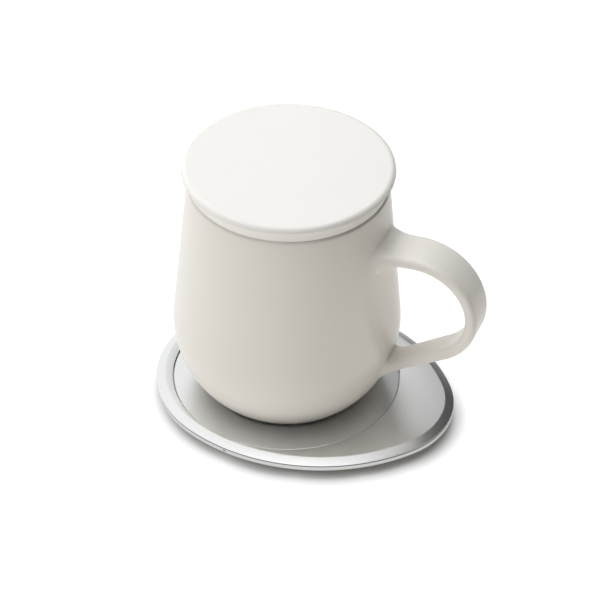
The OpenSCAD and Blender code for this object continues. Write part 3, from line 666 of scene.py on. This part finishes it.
# Turned sections on the cup's axis end in a flat face of this radius
CAP_R = 4
FOOT_IN, FOOT_W, RECESS_H = 2, 3.5, 2.8
bowl_low_r = BOWL_X + BOWL_R * math.cos(LOW)
FOOT_R = bowl_low_r - FOOT_IN
RECESS_R = FOOT_R - FOOT_W
under = rounded([
    (CAP_R, RECESS_H, 0), (RECESS_R, RECESS_H, 0.1), (RECESS_R, 0, 0.35), (FOOT_R, 0, 0.5),
    (FOOT_R, FOOT_STEP, 0.25), (bowl_low_r, FOOT_STEP, 0),
])[:-1]
# Two close loops ease the edge between the foot's step and the bowl
under += [(bowl_low_r - 0.25, FOOT_STEP), (bowl_low_r - 0.05, FOOT_STEP + 0.03)]

inner_r = BOWL_R - WALL_T
FLOOR_H, FLOOR_FILLET = 6.4, 9
mouth_low = turned_from(BOWL_X, BOWL_Z, inner_r, CONE)
mouth_r = mouth_low[0] - (CUP_H - mouth_low[1]) * math.tan(CONE)
mouth_x = mouth_r + RIM_ROUND * (math.tan(CONE) + 1 / math.cos(CONE))
fillet_z = FLOOR_H + FLOOR_FILLET
fillet_x = BOWL_X + math.sqrt((inner_r - FLOOR_FILLET) ** 2 - (BOWL_Z - fillet_z) ** 2)
fillet_turn = math.atan2(fillet_z - BOWL_Z, fillet_x - BOWL_X)
RIM_STEPS, MOUTH_STEPS, HOLLOW_STEPS, FILLET_STEPS = 7, 23, 22, 14
FLOOR_RINGS = (0.8, 0.5, 0.2)
rim = arc(rim_x, rim_z, RIM_ROUND, CONE, math.pi / 2, RIM_STEPS)[1:]
rim += arc(mouth_x, rim_z, RIM_ROUND, math.pi / 2, math.pi + CONE, RIM_STEPS)
mouth_top = np.array(rim[-1])
inside = [tuple(mouth_top + (mouth_low - mouth_top) * f)
          for f in np.linspace(0, 1, MOUTH_STEPS + 1)[1:-1]]
inside += arc(BOWL_X, BOWL_Z, inner_r, CONE, fillet_turn, HOLLOW_STEPS)
inside += arc(fillet_x, fillet_z, FLOOR_FILLET, fillet_turn, -math.pi / 2, FILLET_STEPS)[1:]
inside += [(fillet_x * share, FLOOR_H) for share in FLOOR_RINGS]

levels = np.arange(BOWL_STEPS + CONE_STEPS + 1)
section = under + list(zip(*wall(levels))) + rim + inside
first_level = len(under)

# The strap's middle line: rising upper arm, round bend, sloping lower arm
BEND_X, BEND_Z, BEND_R = 51.4, 51.9, 21.0
RISE, SLOPE = math.radians(4.7), math.radians(33)
UPPER_TURN, LOWER_TURN = math.pi / 2 + RISE, SLOPE - math.pi / 2
STRAP_W, STRAP_T, STRAP_EDGE = (17.4, 9.2), 4.4, 1.9
ROOT_X = 30.4
bend_start = turned_from(BEND_X, BEND_Z, BEND_R, UPPER_TURN)
bend_end = turned_from(BEND_X, BEND_Z, BEND_R, LOWER_TURN)
UPPER_L = (bend_start[0] - ROOT_X) / math.cos(RISE)
BEND_L = BEND_R * (UPPER_TURN - LOWER_TURN)
LOWER_L = (bend_end[0] - ROOT_X) / math.cos(SLOPE)
STRAP_L = UPPER_L + BEND_L + LOWER_L


def strap(s, across, outward):
    """Points of the strap's skin at lengths s along it; across and outward go round a square."""
    into_bend = np.clip(s - UPPER_L, 0, BEND_L) / BEND_R
    turn = UPPER_TURN - into_bend
    x, z = BEND_X + BEND_R * np.cos(turn), BEND_Z + BEND_R * np.sin(turn)
    before, after = np.clip(UPPER_L - s, 0, None), np.clip(s - UPPER_L - BEND_L, 0, None)
    x = x - before * math.cos(RISE) - after * math.cos(SLOPE)
    z = z - before * math.sin(RISE) - after * math.sin(SLOPE)
    half_w = (STRAP_W[0] + (STRAP_W[1] - STRAP_W[0]) * s / STRAP_L) / 2
    half_t = STRAP_T / 2
    u, v = half_w * across, half_t * outward
    core_u = np.clip(u, STRAP_EDGE - half_w, half_w - STRAP_EDGE)
    core_v = np.clip(v, STRAP_EDGE - half_t, half_t - STRAP_EDGE)
    out = STRAP_EDGE / np.hypot(u - core_u, v - core_v)
    u, v = core_u + out * (u - core_u), core_v + out * (v - core_v)
    return np.stack([x + v * np.cos(turn), u, z + v * np.sin(turn)], -1)


def wall_gap(points):
    return np.hypot(points[..., 0], points[..., 1]) - wall(level_of(points[..., 2]))[0]


def on_wall(turn, level):
    radius, z = wall(level)
    return np.stack([radius * np.cos(turn), radius * np.sin(turn), z], -1)


class Root:
    """Where the strap runs into the wall: a patch of the wall's grid is opened for it.

    The fillet's reach along the strap and spread on the wall are given for the strap's sides,
    for what is above it and for what is below it.
    """

    WIDE, HIGH = 14, 10
    HALVINGS = 50
    TURN_NUDGE, LEVEL_NUDGE = 1e-4, 1e-3
    TIGHT = 0.4

    def __init__(self, mid_z, flip, s_in, s_out, side, above, below):
        wide, high = self.WIDE, self.HIGH
        mid_level = int(round(float(level_of(mid_z))))
        corners = [(wide, k) for k in range(-high, high)]
        corners += [(k, high) for k in range(wide, -wide, -1)]
        corners += [(-wide, k) for k in range(high, -high, -1)]
        corners += [(k, -high) for k in range(-wide, wide)]
        steps = np.array(corners)
        self.across, self.outward = steps[:, 0] / wide, steps[:, 1] / high
        self.turn_step, self.level_step = steps[:, 0], mid_level + flip * steps[:, 1]
        self.open = (wide, mid_level - high, mid_level + high)

        # Where the strap's skin would pierce the wall
        low, top = np.full(len(corners), s_in), np.full(len(corners), s_out)
        for _ in range(self.HALVINGS):
            s = (low + top) / 2
            outside = wall_gap(strap(s, self.across, self.outward)) > 0
            low, top = np.where(outside, low, s), np.where(outside, s, top)
        self.meet = strap(s, self.across, self.outward)

        # The fillet starts on the wall outside that line, and ends further along the strap
        turn, level = np.arctan2(self.meet[:, 1], self.meet[:, 0]), level_of(self.meet[:, 2])
        radius, _ = wall(level)
        flat = np.column_stack([radius * turn, level * LEVEL_STEP])
        along = np.roll(flat, -1, 0) - np.roll(flat, 1, 0)
        away = np.column_stack([along[:, 1], -along[:, 0]])
        away = away / np.linalg.norm(along, axis=1, keepdims=True)
        away = away * np.sign(np.sum(away * (flat - flat.mean(0)), 1, keepdims=True))
        upright = np.where(away[:, 1:] > 0, above, below)
        reach, spread = (away[:, :1] ** 2 * side + away[:, 1:] ** 2 * upright).T
        self.s_free = s + math.copysign(1, s_out - s_in) * reach
        self.turn = turn + spread * away[:, 0] / radius
        self.level = level + spread * away[:, 1] / LEVEL_STEP

    def fillet(self, steps):
        """Rings from the wall up to the free strap, touching both smoothly."""
        turn, level = self.turn, self.level
        land = on_wall(turn, level)
        side = on_wall(turn + self.TURN_NUDGE, level) - on_wall(turn - self.TURN_NUDGE, level)
        rise = on_wall(turn, level + self.LEVEL_NUDGE) - on_wall(turn, level - self.LEVEL_NUDGE)
        normal = np.cross(side, rise)
        normal /= np.linalg.norm(normal, axis=1, keepdims=True)
        pull = self.meet - land
        pull -= np.sum(pull * normal, 1, keepdims=True) * normal
        free = strap(self.s_free, self.across, self.outward)
        a, b = land + self.TIGHT * pull, free + self.TIGHT * (self.meet - free)
        rings = []
        for t in np.linspace(0, 1, steps + 1):
            u = 1 - t
            rings.append(u ** 3 * land + 3 * u ** 2 * t * a + 3 * u * t ** 2 * b + t ** 3 * free)
        return rings

    def apron(self, steps):
        """Rings on the wall from the edge of the opened patch to where the fillet lands."""
        rings = []
        for f in np.linspace(0, 1, steps + 1)[1:-1]:
            turn = (1 - f) * self.turn_step * FULL_TURN / SIDES + f * self.turn
            rings.append(on_wall(turn, (1 - f) * self.level_step + f * self.level))
        return rings


UPPER_ROOT_Z, LOWER_ROOT_Z = 71.4, 19.4
ROOT_SIDE = (9.0, 2.6)
upper_root = Root(UPPER_ROOT_Z, 1, 0.0, UPPER_L,
                  side=ROOT_SIDE, above=(4.4, 2.8), below=(9.0, 4.5))
lower_root = Root(LOWER_ROOT_Z, -1, STRAP_L, UPPER_L + BEND_L,
                  side=ROOT_SIDE, above=(5.0, 2.2), below=(9.0, 3.2))

rings, points = [], [np.concatenate(lathe_loops(section))]


def add_rings(new):
    for ring in new:
        rings.append(np.arange(len(ring)) + sum(len(p) for p in points))
        points.append(ring)


def patch_edge(root):
    return (first_level + root.level_step) * SIDES + root.turn_step % SIDES


def opened(level, side):
    """Whether a root takes the place of this face of the wall."""
    side = side - SIDES if side >= SIDES / 2 else side
    return any(-wide <= side < wide and low <= level < high
               for wide, low, high in (upper_root.open, lower_root.open))


APRON_STEPS, ROOT_STEPS, STRAP_STEPS = 6, 12, 120
rings.append(patch_edge(upper_root))
add_rings(upper_root.apron(APRON_STEPS) + upper_root.fillet(ROOT_STEPS))
for f in np.linspace(0, 1, STRAP_STEPS + 1)[1:-1]:
    s = (1 - f) * upper_root.s_free + f * lower_root.s_free
    add_rings([strap(s, upper_root.across, upper_root.outward)])
add_rings(lower_root.fillet(ROOT_STEPS)[::-1] + lower_root.apron(APRON_STEPS)[::-1])
rings.append(patch_edge(lower_root))

cup_faces = [face for i, face in enumerate(loft_faces(len(section), SIDES))
             if not opened(i // SIDES - first_level, i % SIDES)]
for a, b in zip(rings, rings[1:]):
    for j in range(len(a)):
        k = (j + 1) % len(a)
        cup_faces.append(tuple(int(i) for i in (a[j], a[k], b[k], b[j])))
cup_points = np.concatenate(points) + (0, 0, SEAT_Z)
cup = solid("cup", cup_points, cup_faces, glaze, "mug", smooth_below=40)
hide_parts("mug_body")


# Foot of the cup
# A thin heating element lies in a recess under the floor, sealed by a ring of rubber whose dark
# colour is painted shade.
# A white ceramic cover closes the recess, a little short of the foot.
element_metal = moulded(
    "element_metal", (0.09, 0.09, 0.095), (0.16, 0.16, 0.165), 0.4, Metallic=0.8)
dress("heating_element", element_metal)
# Painted shade: the seals are real rubber, but their dark colour is chosen so that the seam under
# the lid looks as dark as the shadow in it.
seal_rubber_painted_shade = moulded(
    "seal_rubber_painted_shade", (0.07, 0.068, 0.065), (0.11, 0.107, 0.102), 0.7, 1600, 0.01)
dress("foot_seal", seal_rubber_painted_shade)
cover_finish = moulded(
    "cover_ceramic", (0.7, 0.68, 0.64), (0.78, 0.76, 0.72), 0.55, 1400, 0.012)
COVER_GAP, COVER_LIFT, COVER_T = 0.05, 0.4, 1.1
COVER_R, COVER_Z = RECESS_R - COVER_GAP, SEAT_Z + COVER_LIFT
COVER_TOP_Z = COVER_Z + COVER_T
cover_section = rounded([
    (CAP_R, COVER_Z, 0), (COVER_R, COVER_Z, 0.2), (COVER_R, COVER_TOP_Z, 0.1),
    (CAP_R, COVER_TOP_Z, 0),
])
cover = loft("foot_plate", lathe_loops(cover_section), cover_finish, "mug")
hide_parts("foot_cover")


# Lid
# A flat porcelain disc in the cup's glaze, with a softly rounded edge and a hollow side.
# A ring-shaped plug under it drops into the mouth, with a ring of rubber in its groove, coloured
# dark as painted shade for the seam under the lid.
LID_R, LID_H, LID_ROUND = 38.0, 7.4, 1.9
LID_LOW_R, LID_LOW_H, LID_HOLLOW = 35.7, 0.4, 0.35
PLUG_GAP, PLUG_H, PLUG_T = 1.4, 8.0, 4.0
PLUG_R = mouth_r - PLUG_GAP
SEAL_H, GROOVE = 2.6, 1.2
lid_finish = Finish("lid_glaze", Coat_Weight=0.3, Coat_Roughness=0.16)
cloud, peel = lid_finish.grain(34, 2.0), lid_finish.grain(520, 2.0)
lid_finish.feed(
    Base_Color=lid_finish.mix(cloud, colour(0.855, 0.84, 0.805), colour(0.885, 0.872, 0.843)),
    Roughness=0.36 + 0.07 * cloud,
)
lid_finish.bump(peel, 0.01)

SIDE_STEPS, EDGE_STEPS = 8, 10
side_low, side_top = np.array((LID_LOW_R, LID_LOW_H)), np.array((LID_R, LID_H - LID_ROUND))
chord = side_top - side_low
inward = np.array((-chord[1], chord[0])) / np.linalg.norm(chord)
lid_side = [tuple(side_low + chord * f + inward * LID_HOLLOW * 4 * f * (1 - f))
            for f in np.linspace(0, 1, SIDE_STEPS + 1)]
plug_in_r, groove_r = PLUG_R - PLUG_T, PLUG_R - GROOVE
groove_low, groove_top = -PLUG_H / 2 - SEAL_H / 2, -PLUG_H / 2 + SEAL_H / 2
lid_under = rounded([
    (CAP_R, 0, 0), (plug_in_r, 0, 1.0), (plug_in_r, -PLUG_H, 0.8), (PLUG_R, -PLUG_H, 0.8),
    (PLUG_R, groove_low, 0.1), (groove_r, groove_low, 0.1),
    (groove_r, groove_top, 0.1), (PLUG_R, groove_top, 0.1),
    (PLUG_R, 0, 0.3), (LID_LOW_R - LID_LOW_H, 0, 0.3), (LID_LOW_R, LID_LOW_H, 0),
])[:-1]
flat_r = LID_R - LID_ROUND
lid_top = arc(flat_r, LID_H - LID_ROUND, LID_ROUND, 0, math.pi / 2, EDGE_STEPS)[1:]
lid_top += [(radius, LID_H) for radius in (flat_r - 0.6, LID_R * 0.7, LID_R * 0.3)]
lid_section = [(r, z + SEAT_Z + CUP_H) for r, z in [*lid_under, *lid_side, *lid_top]]
lid = loft("lid_cap", lathe_loops(lid_section), lid_finish, "lid")
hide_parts("lid")
dress("lid_seal", seal_rubber_painted_shade)


# Studio
# A white floor that keeps the contact shadow and adds a painted shadow round the warmer, soft
# lamps, and a dark flag that the metal mirrors.
# The camera stands where the photograph was taken from, a long way off with a long lens.
def seen(finish):
    """1 for what the camera sees, directly or mirrored, 0 for light on its way to a surface."""
    def ray(name):
        return finish.node("ShaderNodeLightPath", output=name)

    looked_at = ray("Is Camera Ray") + ray("Is Glossy Ray") + ray("Is Transmission Ray")
    return looked_at * (ray("Diffuse Depth") < 0.5)


class Surround(Finish):
    """The nodes of the world around the object."""

    def __init__(self, world, **fixed):
        self.start(world, "Background", fixed)


def flat_sheet(name, corners, finish):
    mesh = bpy.data.meshes.new(name)
    mesh.from_pydata(corners, [], [(0, 1, 2, 3)])
    mesh.materials.append(finish.material)
    return put(name, mesh)


# The floor's glow rises to white from the warmer's edge outwards and stays low near the edge: a
# painted shadow ring that deepens the lamps' own shadow on the floor's paint.
# The painted shadow is set a little to the right, as the light comes from the left.
# Light that the floor throws on to other surfaces is a little warm.
floor_paint = Finish("floor_paint", Roughness=1.0, Specular_IOR_Level=0.0, Emission_Strength=1.0)
SHADOW_X, SHADOW_Y = 1.4, 0.4
SHADOW_FROM, SHADOW_TO, SHADOW_GLOW = -3.5, 5.5, 0.04
OUTLINE_CIRCLES = 5
floor_x = floor_paint.axis("X") * (1 / MM) - SHADOW_X
floor_y = floor_paint.axis("Y") * (1 / MM) - SHADOW_Y


def beyond(x):
    """Millimetres beyond the widest circle about (x, 0) that the warmer's outline holds."""
    across = floor_x - x
    radius = float(np.linalg.norm(EDGE - (x, 0), axis=1).min())
    return (across * across + floor_y * floor_y) ** 0.5 - radius


away = beyond(BACK_X)
for x in np.linspace(BACK_X, NOSE_X, OUTLINE_CIRCLES)[1:]:
    away = away.math("MINIMUM", away, beyond(float(x)))
outside = floor_paint.between(SHADOW_FROM, SHADOW_TO, away)
share = SHADOW_GLOW + (1 - SHADOW_GLOW) * outside
glow = floor_paint.mix(share, colour(0, 0, 0), colour(1, 1, 1))
bounce = floor_paint.mix(outside, colour(0.2, 0.18, 0.14), colour(0.97, 0.935, 0.875))
floor_paint.feed(
    Base_Color=floor_paint.mix(outside, colour(0.66, 0.66, 0.66), colour(0.1, 0.1, 0.1)),
    Emission_Color=floor_paint.mix(seen(floor_paint), bounce, glow),
)
FLOOR_HALF, FLOOR_Z = 3.0, -0.05 * MM
floor_corners = [(x * FLOOR_HALF, y * FLOOR_HALF, FLOOR_Z)
                 for x, y in ((-1, -1), (1, -1), (1, 1), (-1, 1))]
floor = flat_sheet("floor", floor_corners, floor_paint)

world = bpy.data.worlds.new("studio")
bpy.context.scene.world = world
sky = Surround(world, Color=colour(1.0, 0.94, 0.85), Strength=0.03)
dim = Shade(sky, sky.shader.outputs[0])
white = sky.node("ShaderNodeBackground", {}, {"Color": colour(1, 1, 1), "Strength": 1.0})
chosen = sky.node("ShaderNodeMixShader", {}, {0: seen(sky), 1: dim, 2: white})
sky.tree.links.new(chosen.socket, sky.tree.nodes["World Output"].inputs[0])

VIEW_TURN = math.radians(22.5)
RIGHT = Vector((math.cos(VIEW_TURN), math.sin(VIEW_TURN), 0))
BACK = Vector((-math.sin(VIEW_TURN), math.cos(VIEW_TURN), 0))
UP = Vector((0, 0, 1))
LAMP_AIM = Vector((0.005, 0, 0.05))


def lamp(name, right, back, up, size, power, tint=(1, 1, 1), mirrored=False):
    """A square soft lamp, placed as the photograph sees it and aimed at the cup.

    Places and size are in metres, power in watts. Metal and glaze show it if it is mirrored.
    """
    light = bpy.data.lights.new(name, "AREA")
    light.size, light.energy, light.color = size, power, tint
    placed = put(name, light)
    placed.location = right * RIGHT + back * BACK + up * UP
    placed.visible_glossy = mirrored
    placed.rotation_mode = "QUATERNION"
    placed.rotation_quaternion = (LAMP_AIM - placed.location).to_track_quat("-Z", "Y")


COOL = (0.965, 0.985, 1.0)
lamp("top_softbox", 0.24, 0.0, 1.25, 0.5, 4.2)
lamp("top_left_softbox", -0.35, 0.1, 1.2, 0.6, 3.7)
lamp("top_front_softbox", -0.05, -0.5, 1.2, 1.0, 1.5, mirrored=True)
lamp("top_back_softbox", 0.16, 0.6, 1.1, 0.6, 4.4)
lamp("left_softbox", -0.9, -0.4, 0.5, 0.6, 3.2, COOL)
lamp("back_left_softbox", -0.8, 0.8, 0.7, 0.9, 3.7, COOL)
lamp("back_softbox", 0.0, 1.2, 0.9, 0.9, 1.5)

flag_cloth = Finish("flag_cloth", Roughness=1.0, Specular_IOR_Level=0.0,
                    Base_Color=colour(0.03, 0.03, 0.03))
FLAG_FRONT, FLAG_FRONT_H = 0.5 * RIGHT - 0.9 * BACK, 0.6
FLAG_BACK, FLAG_BACK_H = 0.1 * RIGHT + 1.4 * BACK, 1.2
flag_corners = [FLAG_FRONT, FLAG_BACK, FLAG_BACK + FLAG_BACK_H * UP, FLAG_FRONT + FLAG_FRONT_H * UP]
flag = flat_sheet("dark_flag", flag_corners, flag_cloth)
flag.visible_camera = False

camera = bpy.data.cameras.new("camera")
camera.lens, camera.sensor_width = 165.5, 36.0
EYE, TARGET = Vector((0.29933, -0.72399, 0.6801)), Vector((0.00431, 0.00179, 0.0433))
ROLL = math.radians(0.783)
ahead = (TARGET - EYE).normalized()
level_right = ahead.cross(UP).normalized()
level_up = level_right.cross(ahead)
right = level_right * math.cos(ROLL) + level_up * math.sin(ROLL)
up = level_up * math.cos(ROLL) - level_right * math.sin(ROLL)
viewer = put("camera", camera)
facing = Matrix((right, up, -ahead)).transposed().to_4x4()
viewer.matrix_world = Matrix.Translation(EYE) @ facing
bpy.context.scene.camera = viewer
bpy.context.scene.view_settings.view_transform = "Standard"
